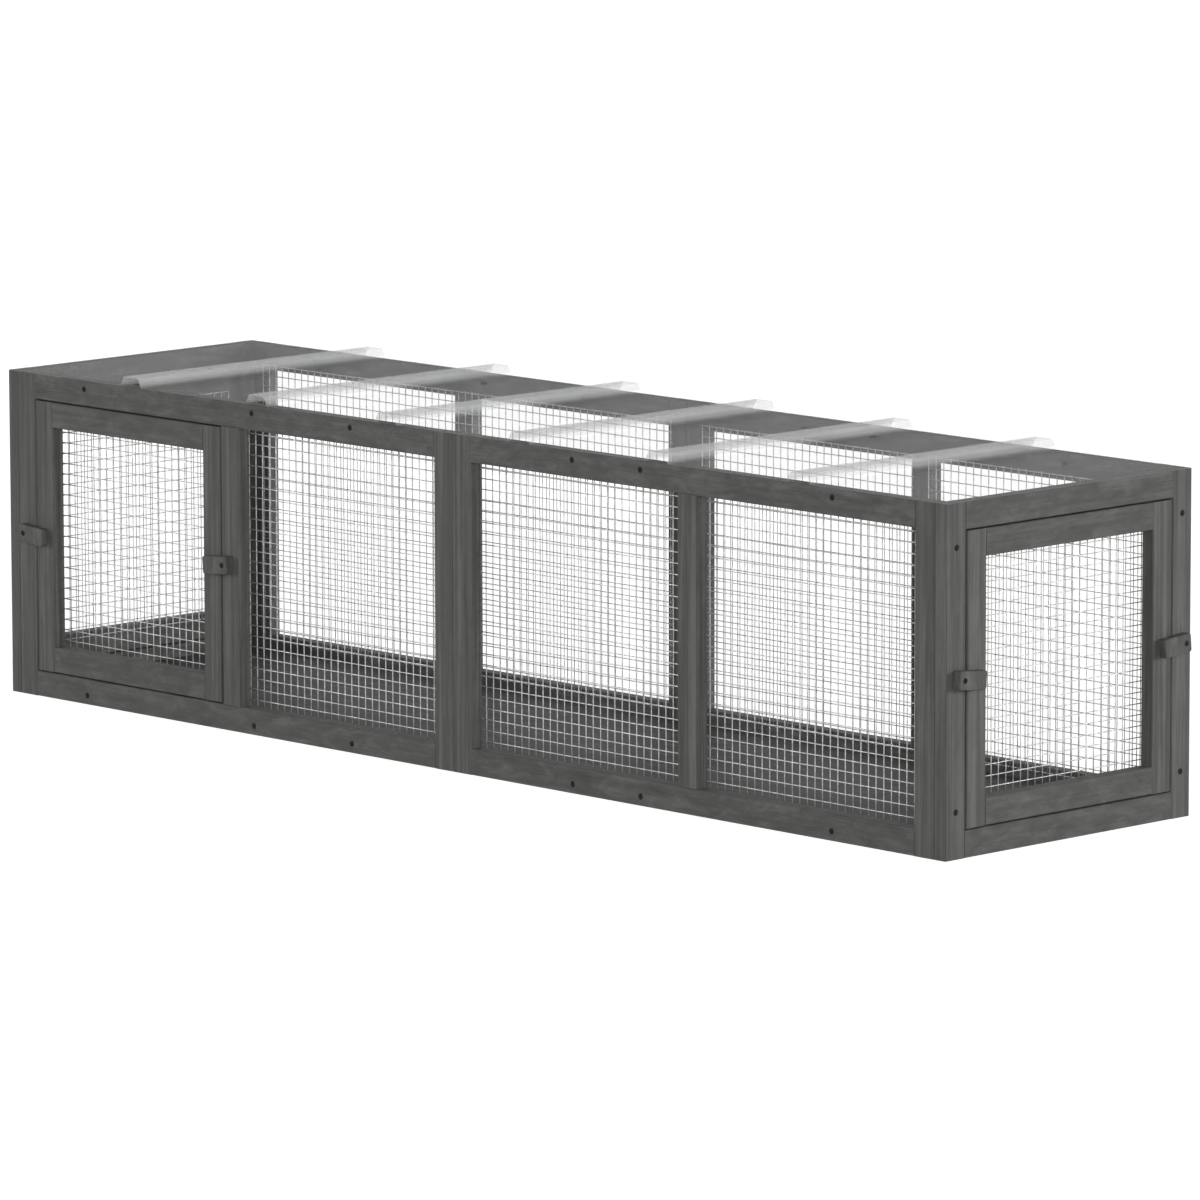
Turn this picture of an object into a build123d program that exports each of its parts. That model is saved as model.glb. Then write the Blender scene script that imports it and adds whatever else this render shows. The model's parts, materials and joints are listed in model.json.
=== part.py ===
from build123d import *
import math
import os

os.makedirs("parts", exist_ok=True)

# Overall size of the run, over the timber and the flats of the roof sheet.
run_length = 1790.0
run_depth = 450.0
run_height = 450.0

# Every bar is cut from one planed stock, with its long edges eased.
bar_width = 35.0
bar_thickness = 20.0
bar_ease = 1.2

# Clear corrugated roof sheet, its ribs running from front to back.
sheet_thickness = 1.0
rib_count = 6
rib_pitch = 255.0
rib_base = 42.0
rib_crown = 30.0
rib_height = 12.5

# Welded net: upright wires and cross wires in two layers that touch.
wire = 1.3
upright_pitch = 13.44
cross_pitch = 14.5
net_lap = 2.5

# Floor boards between the bottom rails.
floor_thickness = 12.0
floor_top = 16.0
floor_clearance = 0.3

# Lift-out doors, and the battens that they close against.
door_gap = 2.0
stop_clearance = 0.3
stop_width = 22.0
stop_thickness = 12.0
stop_reach = 8.0

# Turn buttons, two to a door, each on one screw in a fixed stile beside it.
button_length = 49.0
button_width = 24.0
button_thickness = 12.0
button_heel = 9.5
button_corner = 3.0
button_bevel = 1.0
button_clearance = 0.3
button_height = 227.0
button_droop = 5.0

# Countersunk screws that the buttons turn on, set in from the doorway, their heads flush.
pivot_inset = 13.5
pivot_radius = 1.9
pivot_head = 3.8
pivot_bite = 16.0
pivot_clearance = 0.08

# Heights and lengths that follow from the sizes above.
timber_height = run_height - sheet_thickness
half_length = run_length / 2 - bar_thickness
upper_rail = timber_height - bar_width
bay_width = (half_length - 3 * bar_width) / 2
bay_height = timber_height - 2 * bar_width
end_bay = run_depth - 2 * bar_width

# The bounding box stands centred on the origin: the turn buttons are its front and ends.
button_back = stop_clearance + button_clearance
proud = button_back + button_thickness
left_x = -run_length / 2
right_x = run_length / 2
front_y = (proud - run_depth) / 2
back_y = front_y + run_depth

OUT_FRONT = Vector(0, -1, 0)
OUT_BACK = Vector(0, 1, 0)
OUT_LEFT = Vector(-1, 0, 0)
OUT_RIGHT = Vector(1, 0, 0)
UP = Vector(0, 0, 1)

# The faces that the frame's parts are set out from, each with its way outward.
long_sides = {"front": (front_y, OUT_FRONT), "back": (back_y, OUT_BACK)}
ends = {"left": (left_x, OUT_LEFT), "right": (right_x, OUT_RIGHT)}
halves = {"left": -half_length, "right": 0.0}
levels = {"bottom": 0.0, "top": upper_rail}


def keep(label, builder):
    """Labels a finished piece and writes it under its own name."""
    builder.part.label = label
    export_step(builder.part, f"parts/{label}.step")


def block(low, high):
    """Adds the plain block between two corners to the part being built."""
    size = high - low
    with BuildSketch(Plane.XY.offset(low.Z)) as footprint:
        with Locations(((low.X + high.X) / 2, (low.Y + high.Y) / 2)):
            Rectangle(size.X, size.Y)
    extrude(footprint.sketch, amount=size.Z)


def bar(label, low, high, pivots=()):
    """Makes one bar between two corners, its long edges eased.

    Each pivot is the place and the outward direction of a turn button's screw.
    """
    size = high - low
    along = max(zip(size, (Axis.X, Axis.Y, Axis.Z)), key=lambda pair: pair[0])[1]
    with BuildPart() as timber:
        block(low, high)
        chamfer(edges().filter_by(along), length=bar_ease)
        for place, outward in pivots:
            with Locations(Plane(origin=place, z_dir=outward)):
                Hole(radius=pivot_radius + pivot_clearance, depth=pivot_bite + pivot_clearance)
    keep(label, timber)


# Turn buttons: where each one's screw enters, the way outward and the way its tip points.
doorway_start = -half_length + bar_width
front_pivots = (doorway_start - pivot_inset, doorway_start + bay_width + pivot_inset)
end_pivots = (front_y + bar_width - pivot_inset, back_y - bar_width + pivot_inset)
buttons = {
    "front_door_left": (Vector(front_pivots[0], front_y, button_height), OUT_FRONT, OUT_RIGHT),
    "front_door_right": (Vector(front_pivots[1], front_y, button_height), OUT_FRONT, OUT_LEFT),
    "left_door_front": (Vector(left_x, end_pivots[0], button_height), OUT_LEFT, OUT_BACK),
    "left_door_back": (Vector(left_x, end_pivots[1], button_height), OUT_LEFT, OUT_FRONT),
    "right_door_front": (Vector(right_x, end_pivots[0], button_height), OUT_RIGHT, OUT_BACK),
    "right_door_back": (Vector(right_x, end_pivots[1], button_height), OUT_RIGHT, OUT_FRONT),
}


def pivots_in(x0, x1, y0, y1):
    """The screws that enter the frame between these distances along and across."""
    return [
        (place, outward)
        for place, outward, tip in buttons.values()
        if x0 <= place.X <= x1 and y0 <= place.Y <= y1
    ]


# Long sides: each is two flat frames of five bars, stood end to end.
for side, (face, outward) in long_sides.items():
    inner_face = face - outward.Y * bar_thickness
    y0 = min(face, inner_face)
    y1 = max(face, inner_face)
    for half, start in halves.items():
        stop = start + half_length
        middle = start + bar_width + bay_width
        left_stile = "outer" if half == "left" else "centre"
        right_stile = "centre" if half == "left" else "outer"
        uprights = {
            left_stile: (start, 0.0, timber_height),
            right_stile: (stop - bar_width, 0.0, timber_height),
            "mid": (middle, bar_width, upper_rail),
        }
        for kind, (x0, z0, z1) in uprights.items():
            x1 = x0 + bar_width
            low = Vector(x0, y0, z0)
            high = Vector(x1, y1, z1)
            screws = [p for p in pivots_in(x0, x1, y0, y1) if p[1] == outward]
            bar(f"{side}_{half}_{kind}_stile", low, high, screws)
        for level, z0 in levels.items():
            low = Vector(start + bar_width, y0, z0)
            high = Vector(stop - bar_width, y1, z0 + bar_width)
            bar(f"{side}_{half}_{level}_rail", low, high)

# End frames: each covers the ends of both long sides.
for end, (face, outward) in ends.items():
    inner_face = face - outward.X * bar_thickness
    x0 = min(face, inner_face)
    x1 = max(face, inner_face)
    for side, y0 in (("front", front_y), ("back", back_y - bar_width)):
        y1 = y0 + bar_width
        low = Vector(x0, y0, 0.0)
        high = Vector(x1, y1, timber_height)
        screws = [p for p in pivots_in(x0, x1, y0, y1) if p[1] == outward]
        bar(f"{end}_end_{side}_stile", low, high, screws)
    for level, z0 in levels.items():
        low = Vector(x0, front_y + bar_width, z0)
        high = Vector(x1, back_y - bar_width, z0 + bar_width)
        bar(f"{end}_end_{level}_rail", low, high)


def net(label, window, plane):
    """Makes one welded net centred on a window and lapping the timber round it.

    The upright wires and the cross wires are two ladders that touch. The outermost
    wires of each ladder close the ends of the other.
    """
    width, height = window
    uprights = math.ceil((width + 2 * net_lap - wire) / upright_pitch) + 1
    crosses = math.ceil((height + 2 * net_lap - wire) / cross_pitch) + 1
    net_width = (uprights - 1) * upright_pitch + wire
    net_height = (crosses - 1) * cross_pitch + wire
    with BuildPart() as cross_layer:
        with BuildSketch(plane):
            Rectangle(net_width, net_height)
            with GridLocations(upright_pitch, cross_pitch, 1, crosses - 1):
                Rectangle(net_width - 2 * wire, cross_pitch - wire, mode=Mode.SUBTRACT)
        extrude(amount=wire)
    with BuildPart() as upright_layer:
        with BuildSketch(plane.offset(wire)):
            Rectangle(net_width, net_height)
            with GridLocations(upright_pitch, cross_pitch, uprights - 1, 1):
                Rectangle(upright_pitch - wire, net_height - 2 * wire, mode=Mode.SUBTRACT)
        extrude(amount=wire)
    mesh = Compound(label=label, children=[cross_layer.part, upright_layer.part])
    export_step(mesh, f"parts/{label}.step")


def side_net(label, side, x0, x1):
    """A net on the inner face of a long side, over the bays between two stiles."""
    face, outward = long_sides[side]
    origin = Vector((x0 + x1) / 2, face, bar_width + bay_height / 2) - outward * bar_thickness
    inward = Plane(origin=origin, x_dir=OUT_RIGHT, z_dir=-outward)
    net(label, (x1 - x0, bay_height), inward)


# Bays, from the left. The first at the front is the doorway.
bay_1 = doorway_start
bay_2 = bay_1 + bay_width + bar_width
bay_3 = bar_width
bay_4 = bay_3 + bay_width + bar_width
side_net("front_net_second_bay", "front", bay_2, bay_2 + bay_width)
side_net("front_net_right_half", "front", bay_3, bay_4 + bay_width)
side_net("back_net_left_half", "back", bay_1, bay_2 + bay_width)
side_net("back_net_third_bay", "back", bay_3, bay_3 + bay_width)
side_net("back_net_fourth_bay", "back", bay_4, bay_4 + bay_width)

# Floor: one board in each half, held between the long sides.
floor_y0 = front_y + bar_thickness + floor_clearance
floor_y1 = back_y - bar_thickness - floor_clearance
for half, start in halves.items():
    low = Vector(start + floor_clearance, floor_y0, floor_top - floor_thickness)
    high = Vector(start + half_length - floor_clearance, floor_y1, floor_top)
    with BuildPart() as board:
        block(low, high)
    keep(f"floor_board_{half}", board)

# Roof: one corrugated sheet, flush with the frame all round.
web_angle = math.atan2(rib_height, (rib_base - rib_crown) / 2)
web_shift = sheet_thickness * math.tan(web_angle / 2)
rib_centres = [(i - (rib_count - 1) / 2) * rib_pitch for i in range(rib_count)]


def sheet_line(level, narrower):
    """Points along one face of the sheet, from left to right."""
    foot = rib_base / 2 - narrower
    crown = rib_crown / 2 - narrower
    points = [(left_x, level)]
    for x in rib_centres:
        points += [(x - foot, level), (x - crown, level + rib_height)]
        points += [(x + crown, level + rib_height), (x + foot, level)]
    return points + [(right_x, level)]


with BuildPart() as roof_sheet:
    with BuildSketch(Plane(origin=(0, front_y, 0), x_dir=OUT_RIGHT, z_dir=OUT_FRONT)):
        with BuildLine():
            upper = sheet_line(run_height, 0.0)
            lower = sheet_line(timber_height, web_shift)
            Polyline(*upper, *reversed(lower), close=True)
        make_face()
    extrude(amount=-run_depth)
keep("roof_sheet", roof_sheet)


def door(label, plane, width, height):
    """Makes a lift-out door: two stiles, two rails between them and a net behind.

    The plane lies on the door's inner face, at its middle, and looks out of the doorway.
    """
    window = (width - 2 * bar_width, height - 2 * bar_width)
    with BuildPart() as stiles:
        with BuildSketch(plane):
            with GridLocations(width - bar_width, bar_width, 2, 1):
                Rectangle(bar_width, height)
        extrude(amount=bar_thickness)
        chamfer(edges().filter_by(Axis.Z), length=bar_ease)
    keep(f"{label}_stiles", stiles)
    with BuildPart() as rails:
        with BuildSketch(plane):
            with GridLocations(bar_width, height - bar_width, 1, 2):
                Rectangle(window[0], bar_width)
        extrude(amount=bar_thickness)
        chamfer(edges().filter_by(Axis((0, 0, 0), plane.x_dir)), length=bar_ease)
    keep(f"{label}_rails", rails)
    net(f"{label}_net", window, Plane(origin=plane.origin, x_dir=plane.x_dir, z_dir=-plane.z_dir))


def stops(label, plane, gap_width, height):
    """Makes the two battens that a door closes against, one up each side of its doorway."""
    reach = stop_reach + door_gap
    with BuildPart() as battens:
        with BuildSketch(plane):
            with GridLocations(gap_width - 2 * reach + stop_width, bar_width, 2, 1):
                Rectangle(stop_width, height)
        extrude(amount=-stop_thickness)
        chamfer(edges().filter_by(Axis.Z), length=bar_ease)
    keep(label, battens)


# Doorways: the middle of each on the inner face of its frame, and the way out.
doorway_z = bar_width + bay_height / 2
middle_y = front_y + run_depth / 2
front_centre = Vector(bay_1 + bay_width / 2, front_y + bar_thickness, doorway_z)
left_centre = Vector(left_x + bar_thickness, middle_y, doorway_z)
right_centre = Vector(right_x - bar_thickness, middle_y, doorway_z)
doorways = {
    "front_door": (front_centre, OUT_FRONT, bay_width),
    "left_door": (left_centre, OUT_LEFT, end_bay),
    "right_door": (right_centre, OUT_RIGHT, end_bay),
}
for label, (centre, outward, gap_width) in doorways.items():
    across = UP.cross(outward)
    leaf_back = Plane(origin=centre + outward * stop_clearance, x_dir=across, z_dir=outward)
    frame_back = Plane(origin=centre, x_dir=across, z_dir=outward)
    door(label, leaf_back, gap_width - 2 * door_gap, bay_height - 2 * door_gap)
    stops(f"{label}_stops", frame_back, gap_width, bay_height)

# Turn buttons, their tips drooping a little from level as they are left.
droop = math.radians(button_droop)
for label, (place, outward, tip) in buttons.items():
    along = tip * math.cos(droop) - UP * math.sin(droop)
    back_face = Plane(origin=place + outward * button_back, x_dir=along, z_dir=outward)
    with BuildPart() as button:
        with BuildSketch(back_face):
            with Locations((button_length / 2 - button_heel, 0)):
                RectangleRounded(button_length, button_width, button_corner)
        extrude(amount=button_thickness)
        outer_face = faces().sort_by(Axis((0, 0, 0), outward))[-1]
        chamfer(outer_face.edges(), length=button_bevel)
        with Locations(Plane(origin=place + outward * proud, z_dir=outward)):
            CounterSinkHole(
                radius=pivot_radius + pivot_clearance,
                counter_sink_radius=pivot_head + pivot_clearance,
                counter_sink_angle=90,
            )
    keep(f"{label}_button", button)

# The six screws that the buttons turn on, each one its own solid.
with BuildPart() as pivot_screws:
    for place, outward, tip in buttons.values():
        with Locations(Plane(origin=place + outward * proud, z_dir=outward)):
            inward = (Align.CENTER, Align.CENTER, Align.MAX)
            Cylinder(pivot_radius, proud + pivot_bite, align=inward)
            Cone(pivot_radius, pivot_head, pivot_head - pivot_radius, align=inward)
keep("pivot_screws", pivot_screws)
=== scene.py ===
"""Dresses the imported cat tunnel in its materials, nets, screws and light, seen as photographed."""

import json
import logging
import math
import random
from dataclasses import dataclass
from enum import Enum
from typing import Iterable, Sequence

import bmesh
import bpy
from mathutils import Matrix, Vector


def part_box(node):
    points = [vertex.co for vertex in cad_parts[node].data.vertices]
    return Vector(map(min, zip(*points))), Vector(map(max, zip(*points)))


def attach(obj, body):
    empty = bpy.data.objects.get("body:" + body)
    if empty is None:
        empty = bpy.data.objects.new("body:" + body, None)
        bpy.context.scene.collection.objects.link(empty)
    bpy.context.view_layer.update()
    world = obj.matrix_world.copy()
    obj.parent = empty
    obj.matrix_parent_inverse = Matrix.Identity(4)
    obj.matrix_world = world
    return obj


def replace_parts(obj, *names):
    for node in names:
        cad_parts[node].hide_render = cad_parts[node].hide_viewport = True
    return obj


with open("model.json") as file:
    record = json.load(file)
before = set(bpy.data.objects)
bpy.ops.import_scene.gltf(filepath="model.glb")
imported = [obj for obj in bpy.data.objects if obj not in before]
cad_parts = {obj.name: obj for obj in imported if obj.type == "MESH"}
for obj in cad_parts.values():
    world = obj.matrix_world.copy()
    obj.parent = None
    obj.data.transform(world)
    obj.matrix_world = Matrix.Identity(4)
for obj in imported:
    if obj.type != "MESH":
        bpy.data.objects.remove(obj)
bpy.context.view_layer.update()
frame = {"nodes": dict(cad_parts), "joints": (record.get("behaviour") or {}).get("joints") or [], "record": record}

MM = 0.001
ROOT_BODY = "run"
VARIANT_SHIFT = Vector((3.1, 5.7, 7.9))

Colour = tuple[float, float, float]
Socket = bpy.types.NodeSocket
Value = Socket | float
Corners = Sequence[bmesh.types.BMVert]

log = logging.getLogger("cat_tunnel")


class Grain(Enum):
    """The axis that a piece of wood's grain runs along."""

    X = 0
    Y = 1
    Z = 2

    @classmethod
    def of_box(cls, low: Vector, high: Vector) -> "Grain":
        """The longest side of a box, along which its wood was sawn.

        Args:
            low: The box's lowest corner.
            high: The box's highest corner.

        Returns:
            The grain axis.
        """
        size = high - low
        return cls(max(range(3), key=lambda i: size[i]))


class Cut(Enum):
    """How a piece of wood was sawn, which sets the pattern on its face."""

    CLOUDED = (0.26, 0.20, 0.54)
    STREAKED = (0.68, 0.14, 0.18)

    @property
    def shares(self) -> tuple[float, float, float]:
        """The shares of streaks, fibres and blotches in its colour."""
        return self.value


class NodeTree:
    """A short hand for building the node tree of a material or a world."""

    def __init__(self, owner: bpy.types.Material | bpy.types.World) -> None:
        """Empties the owner's node tree.

        Args:
            owner: The material or world.
        """
        owner.use_nodes = True
        self.owner = owner
        self.tree = owner.node_tree
        self.tree.nodes.clear()

    def add(
        self, kind: str, inputs: dict[str | int, object] | None = None, **settings: object
    ) -> bpy.types.Node:
        """Adds a node, sets it and links its inputs.

        Args:
            kind: The node's type name.
            inputs: Input names or indices to a value or to another node's socket.
            **settings: Attributes of the node.

        Returns:
            The new node.
        """
        node = self.tree.nodes.new(kind)
        for key, value in settings.items():
            setattr(node, key, value)
        for key, value in (inputs or {}).items():
            if isinstance(value, bpy.types.NodeSocket):
                self.tree.links.new(value, node.inputs[key])
            else:
                node.inputs[key].default_value = value
        return node

    def noise(self, vector: Socket, scale: float, detail: float, **more: float) -> Socket:
        """Adds a noise texture.

        Args:
            vector: Where it is looked up.
            scale: Its scale, in cells to the metre.
            detail: Its number of octaves.
            **more: Further inputs by name.

        Returns:
            Its value's socket.
        """
        inputs = {"Vector": vector, "Scale": scale, "Detail": detail, **more}
        return self.add("ShaderNodeTexNoise", inputs).outputs["Fac"]

    def math(self, operation: str, a: Value, b: Value = 0.0) -> Socket:
        """Adds one sum.

        Args:
            operation: The math node's operation.
            a: The first value or socket.
            b: The second value or socket.

        Returns:
            The result's socket.
        """
        return self.add("ShaderNodeMath", {0: a, 1: b}, operation=operation).outputs[0]

    def ramp(self, fac: Socket, stops: Sequence[tuple[float, Colour]]) -> Socket:
        """Adds a colour ramp.

        Args:
            fac: The value that it reads.
            stops: Position and colour of each stop.

        Returns:
            The colour's socket.
        """
        node = self.add("ShaderNodeValToRGB", {"Fac": fac})
        elements = node.color_ramp.elements
        while len(elements) < len(stops):
            elements.new(0.5)
        for element, (position, colour) in zip(elements, stops):
            element.position = position
            element.color = (*colour, 1.0)
        return node.outputs["Color"]

    def bump(self, height: Socket, distance: float, strength: float) -> Socket:
        """Adds a bump.

        Args:
            height: The relief, from 0 to 1.
            distance: How deep 1 is, in metres.
            strength: How much of it shows.

        Returns:
            The normal's socket.
        """
        inputs = {"Height": height, "Distance": distance, "Strength": strength}
        return self.add("ShaderNodeBump", inputs).outputs[0]

    def spread(self, value: Socket, low: float, high: float, start: float = 0.3, stop: float = 0.7) -> Socket:
        """Spreads a value over a range, and holds it at the ends.

        Args:
            value: The value, as a rule a noise.
            low: What it becomes at start.
            high: What it becomes at stop.
            start: Where the spread begins.
            stop: Where it ends.

        Returns:
            The result's socket.
        """
        limits = {"From Min": start, "From Max": stop, "To Min": low, "To Max": high}
        return self.add("ShaderNodeMapRange", {"Value": value, **limits}).outputs[0]

    def surface(self, shader: Socket) -> bpy.types.Material:
        """Ends the tree with its output.

        Args:
            shader: The surface shader's socket.

        Returns:
            The finished material.
        """
        self.add("ShaderNodeOutputMaterial", {"Surface": shader})
        return self.owner


@dataclass(frozen=True)
class StainedWood:
    """Planed softwood under a dark grey-brown stain: long streaks, fine fibres and cloudy blotches."""

    name: str = "stained_wood"
    dark: Colour = (0.044, 0.044, 0.042)
    middle: Colour = (0.088, 0.088, 0.084)
    light: Colour = (0.165, 0.165, 0.160)
    worn: Colour = (0.19, 0.19, 0.183)
    streaks_per_metre: float = 110.0
    fibres_per_metre: float = 900.0
    blotches_per_metre: float = 55.0
    stretch: float = 0.022
    fibre_stretch: float = 0.0176
    blotch_stretch: float = 0.4
    stops: tuple[float, float, float] = (0.34, 0.50, 0.67)
    smoothest: float = 0.5
    roughest: float = 0.78
    shine: float = 0.22
    wear_width: float = 1.4 * MM
    wear_share: float = 0.55
    wear_limits: tuple[float, float] = (0.995, 0.80)
    grain_depth: float = 0.25 * MM
    grain_strength: float = 0.6
    fibre_relief: float = 0.5

    def material(self, grain: Grain, cut: Cut, variant: int) -> bpy.types.Material:
        """Finds or builds the wood for one grain direction.

        Args:
            grain: The axis that the grain runs along.
            cut: How it was sawn.
            variant: Which length of the wood, so that neighbours differ.

        Returns:
            The material.
        """
        name = f"{self.name}_{cut.name.lower()}_{grain.name.lower()}{variant}"
        if name in bpy.data.materials:
            return bpy.data.materials[name]
        nodes = NodeTree(bpy.data.materials.new(name))
        place = nodes.add("ShaderNodeTexCoord").outputs["Object"]
        shift = VARIANT_SHIFT * (variant + 1)

        def along(stretch: float) -> Socket:
            """Looks the pattern up, drawn out along the grain.

            Args:
                stretch: The pattern's scale along the grain, as a share of that across it.

            Returns:
                The place's socket.
            """
            scale = [1.0, 1.0, 1.0]
            scale[grain.value] = stretch
            inputs = {"Vector": place, "Location": shift, "Scale": scale}
            return nodes.add("ShaderNodeMapping", inputs).outputs["Vector"]

        streak = nodes.noise(along(self.stretch), self.streaks_per_metre, 4.0, Roughness=0.62, Distortion=0.5)
        fibre = nodes.noise(along(self.fibre_stretch), self.fibres_per_metre, 3.0, Roughness=0.6)
        cloud = along(self.blotch_stretch)
        blotch = nodes.noise(cloud, self.blotches_per_metre, 6.0, Roughness=0.68, Distortion=0.6)
        streaks, fibres, blotches = cut.shares
        value = nodes.math("MULTIPLY", streak, streaks)
        value = nodes.math("ADD", value, nodes.math("MULTIPLY", fibre, fibres))
        value = nodes.math("ADD", value, nodes.math("MULTIPLY", blotch, blotches))
        stain = nodes.ramp(value, list(zip(self.stops, (self.dark, self.middle, self.light))))
        layers = {0: self._rubbed(nodes, fibre), 6: stain, 7: (*self.worn, 1.0)}
        colour = nodes.add("ShaderNodeMix", layers, data_type="RGBA").outputs[2]
        roughness = nodes.spread(value, self.smoothest, self.roughest)
        height = nodes.math("ADD", streak, nodes.math("MULTIPLY", fibre, self.fibre_relief))
        normal = nodes.bump(height, self.grain_depth, self.grain_strength)
        inputs = {"Base Color": colour, "Roughness": roughness, "Normal": normal}
        inputs["Specular IOR Level"] = self.shine
        return nodes.surface(nodes.add("ShaderNodeBsdfPrincipled", inputs).outputs[0])

    def _rubbed(self, nodes: NodeTree, fibre: Socket) -> Socket:
        """Finds the edges, where the stain is rubbed thin.

        Args:
            nodes: The node tree that it goes into.
            fibre: The fine fibres, which break the wear up.

        Returns:
            A value that is 0 on the flats and rises at the edges.
        """
        round_way = nodes.add("ShaderNodeBevel", {"Radius": self.wear_width}, samples=4).outputs[0]
        flat_way = nodes.add("ShaderNodeNewGeometry").outputs["Normal"]
        inputs = {0: round_way, 1: flat_way}
        likeness = nodes.add("ShaderNodeVectorMath", inputs, operation="DOT_PRODUCT").outputs["Value"]
        edge = nodes.spread(likeness, 0.0, self.wear_share, *self.wear_limits)
        broken = nodes.spread(fibre, 0.0, 1.0, 0.3, 0.6)
        return nodes.math("MULTIPLY", edge, broken)


@dataclass(frozen=True)
class GalvanisedWire:
    """Zinc-coated wire, satin and mottled."""

    name: str = "galvanised_wire"
    dark: Colour = (0.40, 0.405, 0.405)
    light: Colour = (0.66, 0.665, 0.665)
    mottles_per_metre: float = 260.0
    metallic: float = 0.5
    spangle_depth: float = 0.05 * MM
    spangle_strength: float = 0.5
    smoothest: float = 0.35
    roughest: float = 0.6

    def material(self) -> bpy.types.Material:
        """Builds the wire's material.

        Returns:
            The material.
        """
        nodes = NodeTree(bpy.data.materials.new(self.name))
        place = nodes.add("ShaderNodeTexCoord").outputs["Object"]
        mottle = nodes.noise(place, self.mottles_per_metre, 3.0)
        colour = nodes.ramp(mottle, [(0.35, self.dark), (0.65, self.light)])
        roughness = nodes.spread(mottle, self.roughest, self.smoothest)
        normal = nodes.bump(mottle, self.spangle_depth, self.spangle_strength)
        inputs = {"Base Color": colour, "Metallic": self.metallic, "Roughness": roughness, "Normal": normal}
        return nodes.surface(nodes.add("ShaderNodeBsdfPrincipled", inputs).outputs[0])


@dataclass(frozen=True)
class ClearSheet:
    """Clear plastic sheet with a faint white haze."""

    name: str = "clear_sheet"
    low: Colour = (0.66, 0.67, 0.67)
    high: Colour = (0.78, 0.79, 0.79)
    flat_alpha: float = 0.13
    rib_alpha: float = 0.29
    flats_end: float = 451.0 * MM
    ribs_start: float = 454.0 * MM
    shine: float = 0.36
    smoothest: float = 0.22
    roughest: float = 0.36
    hazes_per_metre: float = 9.0
    wave_depth: float = 0.3 * MM
    wave_strength: float = 0.3

    def material(self) -> bpy.types.Material:
        """Builds the sheet's material.

        Returns:
            The material.
        """
        nodes = NodeTree(bpy.data.materials.new(self.name))
        place = nodes.add("ShaderNodeTexCoord").outputs["Object"]
        haze = nodes.noise(place, self.hazes_per_metre, 4.0)
        colour = nodes.ramp(haze, [(0.3, self.low), (0.7, self.high)])
        height = nodes.add("ShaderNodeSeparateXYZ", {0: place}).outputs["Z"]
        alpha = nodes.spread(height, self.flat_alpha, self.rib_alpha, self.flats_end, self.ribs_start)
        roughness = nodes.spread(haze, self.smoothest, self.roughest)
        normal = nodes.bump(haze, self.wave_depth, self.wave_strength)
        inputs = {"Base Color": colour, "Roughness": roughness, "Alpha": alpha, "Normal": normal}
        inputs["Specular IOR Level"] = self.shine
        return nodes.surface(nodes.add("ShaderNodeBsdfPrincipled", inputs).outputs[0])


@dataclass(frozen=True)
class DarkSteel:
    """Black-coated screw steel, rubbed a little lighter in scattered spots."""

    name: str = "dark_screws"
    dark: Colour = (0.004, 0.004, 0.004)
    light: Colour = (0.014, 0.014, 0.015)
    shine: float = 0.12
    pits_per_metre: float = 700.0
    pit_depth: float = 0.05 * MM
    pit_strength: float = 0.5
    smoothest: float = 0.4
    roughest: float = 0.7

    def material(self) -> bpy.types.Material:
        """Builds the screws' material.

        Returns:
            The material.
        """
        nodes = NodeTree(bpy.data.materials.new(self.name))
        place = nodes.add("ShaderNodeTexCoord").outputs["Object"]
        wear = nodes.noise(place, self.pits_per_metre, 3.0)
        colour = nodes.ramp(wear, [(0.4, self.dark), (0.7, self.light)])
        roughness = nodes.spread(wear, self.roughest, self.smoothest)
        normal = nodes.bump(wear, self.pit_depth, self.pit_strength)
        inputs = {"Base Color": colour, "Roughness": roughness, "Normal": normal}
        inputs["Specular IOR Level"] = self.shine
        return nodes.surface(nodes.add("ShaderNodeBsdfPrincipled", inputs).outputs[0])


def direction(azimuth: float, elevation: float) -> Vector:
    """Finds the way out from the object towards a camera or a lamp.

    Args:
        azimuth: Its bearing in degrees, from the front towards the right end.
        elevation: Its height in degrees.

    Returns:
        The unit vector.
    """
    turn, rise = math.radians(azimuth), math.radians(elevation)
    return Vector((math.sin(turn) * math.cos(rise), -math.cos(turn) * math.cos(rise), math.sin(rise)))


def add_band(mesh: bmesh.types.BMesh, near: Corners, far: Corners) -> None:
    """Adds the faces between two closed loops of as many corners.

    Args:
        mesh: The mesh that they go into.
        near: The first loop.
        far: The second loop.
    """
    for i in range(len(near)):
        j = (i + 1) % len(near)
        mesh.faces.new((near[i], near[j], far[j], far[i]))


def add_tube(mesh: bmesh.types.BMesh, points: Sequence[Vector], radius: float, sides: int) -> None:
    """Adds one closed round wire along a nearly straight line.

    Args:
        mesh: The mesh that it goes into.
        points: The wire's centre line.
        radius: Half its thickness.
        sides: How many flats stand for its round.
    """
    axis = (points[-1] - points[0]).normalized()
    side = axis.orthogonal().normalized()
    other = axis.cross(side)
    turns = [2 * math.pi * (i + 0.5) / sides for i in range(sides)]
    spokes = [(side * math.cos(t) + other * math.sin(t)) * radius for t in turns]
    rings = [[mesh.verts.new(p + s) for s in spokes] for p in points]
    for near, far in zip(rings, rings[1:]):
        add_band(mesh, near, far)
    mesh.faces.new(list(reversed(rings[0])))
    mesh.faces.new(rings[-1])


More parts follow.
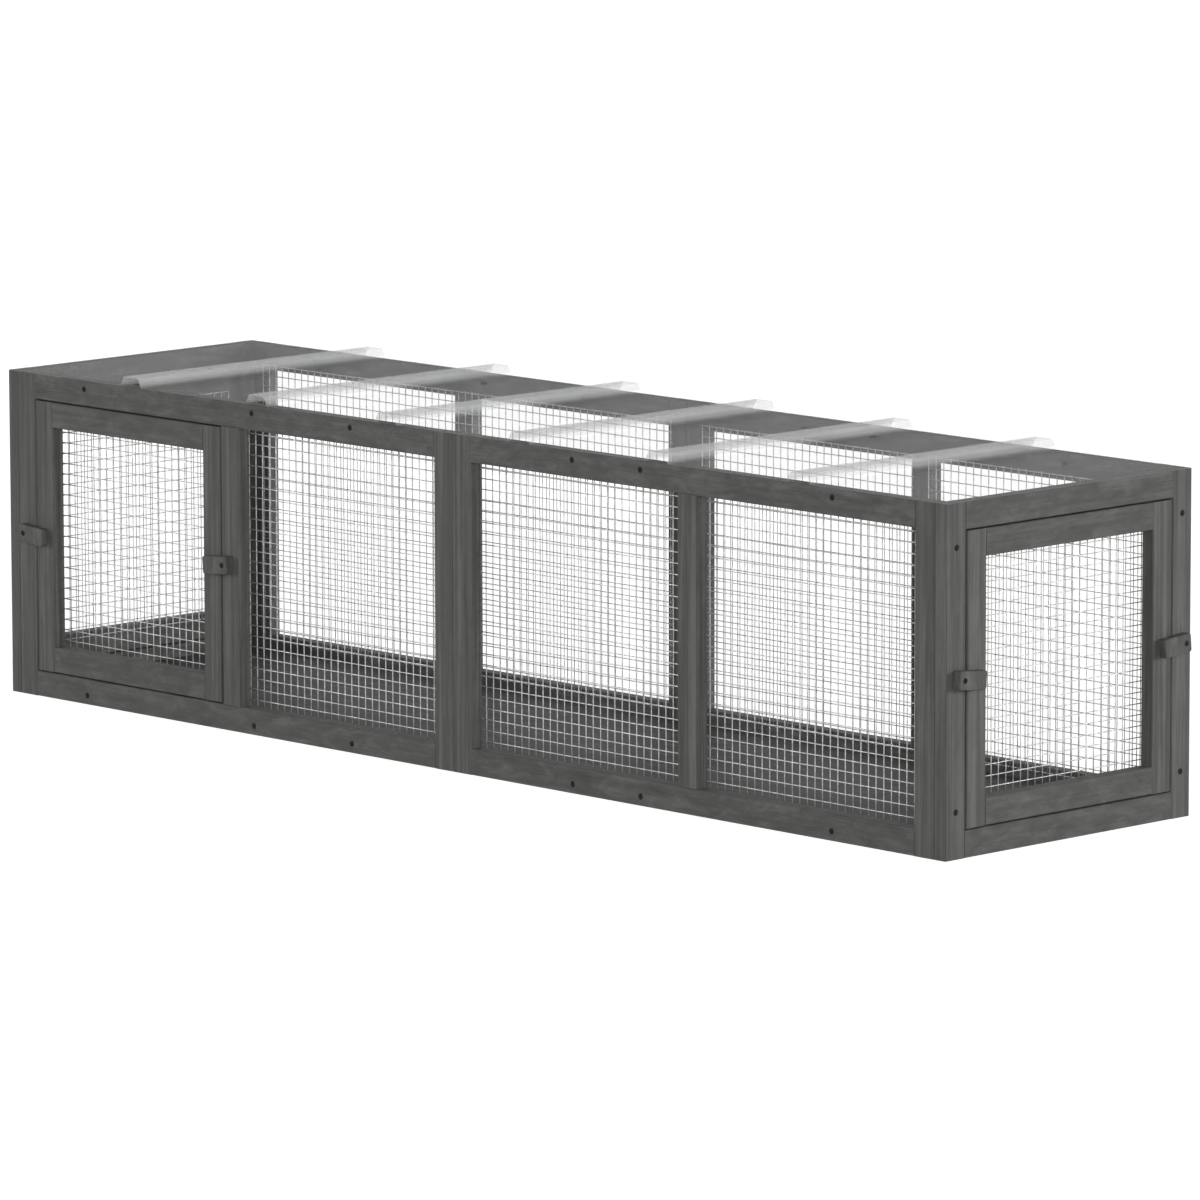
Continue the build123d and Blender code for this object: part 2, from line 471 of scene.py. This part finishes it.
def finish_mesh(
    name: str, mesh: bmesh.types.BMesh, material: bpy.types.Material, smooth: bool
) -> bpy.types.Object:
    """Turns a bmesh into a linked object.

    Args:
        name: The object's name.
        mesh: Its geometry, which is freed.
        material: Its finish.
        smooth: Whether its faces are shaded smooth.

    Returns:
        The object.
    """
    data = bpy.data.meshes.new(name)
    bmesh.ops.recalc_face_normals(mesh, faces=mesh.faces)
    for face in mesh.faces:
        face.smooth = smooth and len(face.verts) == 4
    mesh.to_mesh(data)
    mesh.free()
    data.materials.append(material)
    piece = bpy.data.objects.new(name, data)
    bpy.context.scene.collection.objects.link(piece)
    log.info("%s: %d faces", name, len(data.polygons))
    return piece


@dataclass
class WeldedNet:
    """A net of round wires: cross wires on the outer side, and uprights behind that bite into them."""

    node: str
    body: str
    material: bpy.types.Material
    wire: float = 1.4 * MM
    upright_pitch: float = 13.44 * MM
    cross_pitch: float = 14.5 * MM
    weld_bite: float = 0.35 * MM
    sway: float = 0.22 * MM
    stub: float = 2.0 * MM
    shortest_stub: float = 0.2
    step: float = 48.0 * MM
    sides: int = 8

    def build(self) -> bpy.types.Object:
        """Makes the net in place of its CAD node.

        Returns:
            The net.
        """
        low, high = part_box(self.node)
        size = high - low
        thin = 0 if size.x < size.y else 1
        along = 1 - thin
        middle = (low + high) / 2
        outward = 1.0 if middle[thin] > 0 else -1.0
        rand = random.Random(self.node)
        count = [0, 0, 0]
        count[along] = round((size[along] - self.wire) / self.upright_pitch)
        count[2] = round((size[2] - self.wire) / self.cross_pitch)
        layer = (self.wire - self.weld_bite) / 2
        mesh = bmesh.new()
        for run, across, depth in ((along, 2, outward * layer), (2, along, -outward * layer)):
            for i in range(count[across] + 1):
                start = Vector(low)
                start[across] += self.wire / 2 + (size[across] - self.wire) * i / count[across]
                start[thin] = middle[thin] + depth
                start[run] = low[run] - rand.uniform(self.shortest_stub, 1.0) * self.stub
                end = Vector(start)
                end[run] = high[run] + rand.uniform(self.shortest_stub, 1.0) * self.stub
                pieces = max(2, round((end - start).length / self.step))
                points = []
                for k in range(pieces + 1):
                    point = start.lerp(end, k / pieces)
                    point[across] += rand.uniform(-self.sway, self.sway)
                    points.append(point)
                add_tube(mesh, points, self.wire / 2, self.sides)
        piece = finish_mesh(f"{self.node}_wires", mesh, self.material, True)
        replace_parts(piece, self.node)
        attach(piece, self.body)
        return piece


@dataclass
class ScrewSet:
    """Countersunk screws with a low dome and a cross recess, all of one size, as one piece."""

    name: str
    material: bpy.types.Material
    head: float = 4.2 * MM
    rim_height: float = 0.02 * MM
    shoulder: float = 0.9
    shoulder_height: float = 0.6
    dome: float = 0.4 * MM
    crown: float = 1.25
    recess: float = 2.1 * MM
    recess_width: float = 0.75 * MM
    recess_depth: float = 0.38 * MM
    recess_taper: float = 0.8
    turn_step: float = 2.4
    shank: float = 1.9 * MM
    length: float = 28.0 * MM
    sides: int = 24

    def build(self, sites: Iterable[tuple[Vector, Vector]]) -> bpy.types.Object:
        """Makes the screws.

        Args:
            sites: The middle of each head on its face, and the way out of the face.

        Returns:
            The screws.
        """
        mesh = bmesh.new()
        for turn, (place, outward) in enumerate(sites):
            self._screw(mesh, place, outward, turn)
        piece = finish_mesh(self.name, mesh, self.material, False)
        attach(piece, ROOT_BODY)
        return piece

    def _screw(self, mesh: bmesh.types.BMesh, place: Vector, outward: Vector, turn: int) -> None:
        """Adds one screw.

        Args:
            mesh: The mesh that it goes into.
            place: The middle of its head on the face.
            outward: The way out of the face.
            turn: Its number, which turns its recess.
        """
        pose = Matrix.Translation(place) @ outward.to_track_quat("Z", "Y").to_matrix().to_4x4()
        pose @= Matrix.Rotation(turn * self.turn_step, 4, "Z")
        top_loops = (
            (self.head, self.rim_height),
            (self.head * self.shoulder, self.dome * self.shoulder_height),
            (self.recess * self.crown, self.dome),
        )
        head = [self._loop(mesh, pose, radius, height) for radius, height in top_loops]
        neck = self._loop(mesh, pose, self.shank, -(self.head - self.shank))
        tip = self._loop(mesh, pose, self.shank, -self.length)
        loops = [tip, neck, *head]
        for near, far in zip(loops, loops[1:]):
            add_band(mesh, near, far)
        mesh.faces.new(list(reversed(tip)))
        cross = []
        half = self.recess_width / 2
        for quarter in range(4):
            spin = Matrix.Rotation(quarter * math.pi / 2, 3, "Z")
            arm = ((self.recess, -half, 0), (self.recess, half, 0), (half, half, 0))
            cross += [spin @ Vector(p) for p in arm]
        up = Vector((0, 0, 1))
        rim = [mesh.verts.new(pose @ (v + up * self.dome)) for v in cross]
        floor_height = self.dome - self.recess_depth
        floor = [mesh.verts.new(pose @ (v * self.recess_taper + up * floor_height)) for v in cross]
        add_band(mesh, rim, floor)
        mesh.faces.new(floor)
        edges = []
        for loop in (head[-1], rim):
            edges += [mesh.edges.get(pair) for pair in zip(loop, [*loop[1:], loop[0]])]
        bmesh.ops.triangle_fill(mesh, edges=edges, use_beauty=True)

    def _loop(self, mesh: bmesh.types.BMesh, pose: Matrix, radius: float, height: float) -> Corners:
        """Adds one round loop of corners about a screw's axis.

        Args:
            mesh: The mesh that they go into.
            pose: The screw's place and turn.
            radius: The loop's radius.
            height: Its height above the face.

        Returns:
            The corners.
        """
        turns = [2 * math.pi * i / self.sides for i in range(self.sides)]
        places = [Vector((radius * math.cos(t), radius * math.sin(t), height)) for t in turns]
        return [mesh.verts.new(pose @ place) for place in places]


@dataclass
class Timber:
    """The bars, battens, boards and turn buttons, whose solids stay and get wood and softened edges."""

    wood: StainedWood
    edge: float = 0.5 * MM
    edge_segments: int = 2
    edge_angle: float = 25.0
    variants: int = 4

    def dress(self, node: str, grain: Grain | None = None, variant: int = 0) -> None:
        """Gives one wooden node its finish.

        Args:
            node: The node's name.
            grain: The way that its grain runs, or None for its longest side.
            variant: Which length of the wood it gets.
        """
        cut = Cut.STREAKED if "stile" in node else Cut.CLOUDED
        piece = frame["nodes"][node]
        low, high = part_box(node)
        grain = grain or Grain.of_box(low, high)
        material = self.wood.material(grain, cut, variant % self.variants)
        piece.data.materials.clear()
        piece.data.materials.append(material)
        bevel = piece.modifiers.new("soft_edges", "BEVEL")
        bevel.width = self.edge
        bevel.segments = self.edge_segments
        bevel.limit_method = "ANGLE"
        bevel.angle_limit = math.radians(self.edge_angle)
        log.info("%s: wood along %s", node, grain.name)


@dataclass(frozen=True)
class CameraFit:
    """Where the photograph was taken from, solved from the corners of the frame and its stiles."""

    azimuth: float = 46.0036
    elevation: float = 9.0483
    roll: float = 0.1341
    distance: float = 11.72741
    target: tuple[float, float, float] = (0.024225, 0.026518, 0.203756)
    lens: float = 264.943
    sensor: float = 36.0
    nearest: float = 0.1
    farthest: float = 100.0

    def place(self) -> None:
        """Makes the scene's camera."""
        data = bpy.data.cameras.new("camera")
        data.lens = self.lens
        data.sensor_width = self.sensor
        data.clip_start = self.nearest
        data.clip_end = self.farthest
        camera = bpy.data.objects.new("camera", data)
        bpy.context.scene.collection.objects.link(camera)
        back = direction(self.azimuth, self.elevation)
        camera.rotation_mode = "QUATERNION"
        look = (-back).to_track_quat("-Z", "Y").to_matrix().to_4x4()
        look @= Matrix.Rotation(-math.radians(self.roll), 4, "Z")
        camera.location = Vector(self.target) + back * self.distance
        camera.rotation_quaternion = look.to_quaternion()
        bpy.context.scene.camera = camera


@dataclass(frozen=True)
class SideLight:
    """A large soft lamp far off to one side, so that it lights the whole length alike."""

    name: str
    azimuth: float
    elevation: float
    softness: float
    strength: float
    glint: bool = True
    reach: float = 5.0

    def place(self) -> None:
        """Makes the lamp."""
        data = bpy.data.lights.new(self.name, "SUN")
        data.angle = math.radians(self.softness)
        data.energy = self.strength
        lamp = bpy.data.objects.new(self.name, data)
        lamp.visible_glossy = self.glint
        bpy.context.scene.collection.objects.link(lamp)
        way = direction(self.azimuth, self.elevation)
        lamp.location = way * self.reach
        lamp.rotation_mode = "QUATERNION"
        lamp.rotation_quaternion = (-way).to_track_quat("-Z", "Y")


@dataclass(frozen=True)
class Studio:
    """The plain white room: a pale floor, soft world light and four low lamps."""

    horizon: float = 0.37
    zenith: float = 0.10
    zenith_start: float = 0.8
    floor_size: float = 30.0
    floor_colour: Colour = (0.8, 0.8, 0.8)
    floor_lift: float = 0.80
    lamps: tuple[SideLight, ...] = (
        SideLight("front_lamp", -48.0, 10.0, 14.0, 0.8),
        SideLight("end_lamp", 138.0, 10.0, 14.0, 1.55),
        SideLight("fill_lamp", 46.0, 12.0, 30.0, 1.55, glint=False),
        SideLight("back_lamp", 225.0, 14.0, 30.0, 0.7, glint=False),
    )

    def build(self) -> None:
        """Makes the floor, the world and the lamps."""
        bpy.context.scene.view_settings.view_transform = "Standard"
        self._floor()
        self._world()
        for lamp in self.lamps:
            lamp.place()

    def _seen(self, nodes: NodeTree) -> Socket:
        """Adds 1 for a camera, glossy or transmission ray and 0 for any other.

        Args:
            nodes: The node tree that it goes into.

        Returns:
            The value's socket.
        """
        path = nodes.add("ShaderNodeLightPath").outputs
        either = nodes.math("MAXIMUM", path["Is Camera Ray"], path["Is Glossy Ray"])
        return nodes.math("MAXIMUM", either, path["Is Transmission Ray"])

    def _floor(self) -> None:
        """Makes the floor, white where it is seen lit and a little darker in the object's shadow."""
        nodes = NodeTree(bpy.data.materials.new("studio_floor"))
        matt = nodes.add("ShaderNodeBsdfDiffuse", {"Color": (*self.floor_colour, 1.0)})
        lift = nodes.math("MULTIPLY", self._seen(nodes), self.floor_lift)
        glow = nodes.add("ShaderNodeEmission", {"Color": (1.0, 1.0, 1.0, 1.0), "Strength": lift})
        both = nodes.add("ShaderNodeAddShader", {0: matt.outputs[0], 1: glow.outputs[0]})
        material = nodes.surface(both.outputs[0])
        mesh = bmesh.new()
        half = self.floor_size / 2
        corners = [(-half, -half), (half, -half), (half, half), (-half, half)]
        mesh.faces.new([mesh.verts.new((x, y, 0.0)) for x, y in corners])
        finish_mesh("studio_floor", mesh, material, False)

    def _world(self) -> None:
        """Makes the world: white where it is seen, and to the object soft walls that darken upwards."""
        world = bpy.data.worlds.new("studio_world")
        bpy.context.scene.world = world
        nodes = NodeTree(world)
        way = nodes.add("ShaderNodeTexCoord").outputs["Generated"]
        height = nodes.add("ShaderNodeSeparateXYZ", {0: way}).outputs["Z"]
        soft = nodes.spread(height, self.horizon, self.zenith, 0.0, self.zenith_start)
        strength = nodes.math("MAXIMUM", soft, self._seen(nodes))
        inputs = {"Color": (1.0, 1.0, 1.0, 1.0), "Strength": strength}
        background = nodes.add("ShaderNodeBackground", inputs)
        nodes.add("ShaderNodeOutputWorld", {"Surface": background.outputs[0]})


@dataclass
class CatTunnel:
    """The whole run: timber, floor, nets, roof and screws."""

    edge_rows: tuple[float, float] = (12.5 * MM, 437.0 * MM)
    left_half_screws: tuple[float, ...] = (139.0 * MM, 482.0 * MM, 677.0 * MM)
    right_half_screws: tuple[float, ...] = (226.0 * MM, 352.0 * MM, 696.0 * MM)
    corner_rows: tuple[float, float] = (60.0 * MM, 393.0 * MM)
    corner_inset: float = 18.0 * MM

    def build(self) -> None:
        """Dresses every node and adds the small fasteners."""
        timber = Timber(StainedWood())
        panel = StainedWood("floor_panel", (0.030, 0.030, 0.029), (0.060, 0.059, 0.057))
        floor = Timber(panel)
        wire = GalvanisedWire().material()
        steel = DarkSteel().material()
        body_of = {n: b for b, members in frame["record"]["behaviour"]["bodies"].items() for n in members}
        for count, node in enumerate(sorted(frame["nodes"])):
            words = node.split("_")
            if "net" in words:
                WeldedNet(node, body_of[node], wire).build()
            elif node.startswith("floor_board"):
                floor.dress(node, Grain.X, count)
            elif node == "roof_sheet":
                self._roof(node)
            elif node == "pivot_screws":
                self._pivots(node, steel)
            elif node.endswith("_button"):
                timber.dress(node, Grain.Z, count)
            else:
                timber.dress(node, self._door_grain(node), count)
        rails = ScrewSet("rail_screws", steel)
        rails.build(self._rail_sites())
        corners = ScrewSet("corner_screws", steel)
        corners.build(self._corner_sites())

    def _door_grain(self, node: str) -> Grain | None:
        """The grain of a door's paired bars, which their box doesn't give.

        Args:
            node: The node's name.

        Returns:
            The grain, or None where the longest side gives it.
        """
        if "_door_" not in node:
            return None
        if node.endswith("_rails"):
            return Grain.X if node.startswith("front") else Grain.Y
        return Grain.Z

    def _roof(self, node: str) -> None:
        """Gives the roof sheet its finish.

        Args:
            node: The node's name.
        """
        piece = frame["nodes"][node]
        piece.data.materials.clear()
        piece.data.materials.append(ClearSheet().material())
        log.info("%s: clear sheet", node)

    def _pivots(self, node: str, steel: bpy.types.Material) -> None:
        """Puts recessed screws in place of the plain ones that the buttons turn on.

        Args:
            node: The node's name.
            steel: The screws' finish.
        """
        low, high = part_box(node)
        sites = []
        for joint in frame["joints"]:
            if joint["type"] != "hinge":
                continue
            outward = Vector(joint["axis"])
            place = Vector(joint["pos_m"])
            reach = high if sum(outward) > 0 else low
            i = max(range(3), key=lambda k: abs(outward[k]))
            place[i] = reach[i]
            sites.append((place, outward))
        screws = ScrewSet("pivot_screw_set", steel, head=4.0 * MM, dome=0.1 * MM, recess_depth=0.9 * MM)
        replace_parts(screws.build(sites), node)

    def _rail_sites(self) -> list[tuple[Vector, Vector]]:
        """The screws through the long rails.

        Returns:
            The place and the way out of each.
        """
        sites = []
        for side, way in (("front", -1), ("back", 1)):
            for half, distances in (("left", self.left_half_screws), ("right", self.right_half_screws)):
                low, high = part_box(f"{side}_{half}_top_rail")
                face = low.y if way < 0 else high.y
                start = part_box(f"floor_board_{half}")[0].x
                for distance in distances:
                    for height in self.edge_rows:
                        sites.append((Vector((start + distance, face, height)), Vector((0, way, 0))))
        return sites

    def _corner_sites(self) -> list[tuple[Vector, Vector]]:
        """The screws through the stiles of the end frames.

        Returns:
            The place and the way out of each.
        """
        sites = []
        for end, way in (("left", -1), ("right", 1)):
            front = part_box(f"{end}_end_front_stile")
            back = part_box(f"{end}_end_back_stile")
            face = front[0].x if way < 0 else front[1].x
            for y in (front[0].y + self.corner_inset, back[1].y - self.corner_inset):
                for height in self.corner_rows:
                    sites.append((Vector((face, y, height)), Vector((way, 0, 0))))
        return sites


def main() -> None:
    """Builds the object, the studio and the camera."""
    logging.basicConfig(level=logging.INFO)
    CatTunnel().build()
    Studio().build()
    CameraFit().place()


if __name__ == "__main__":
    main()
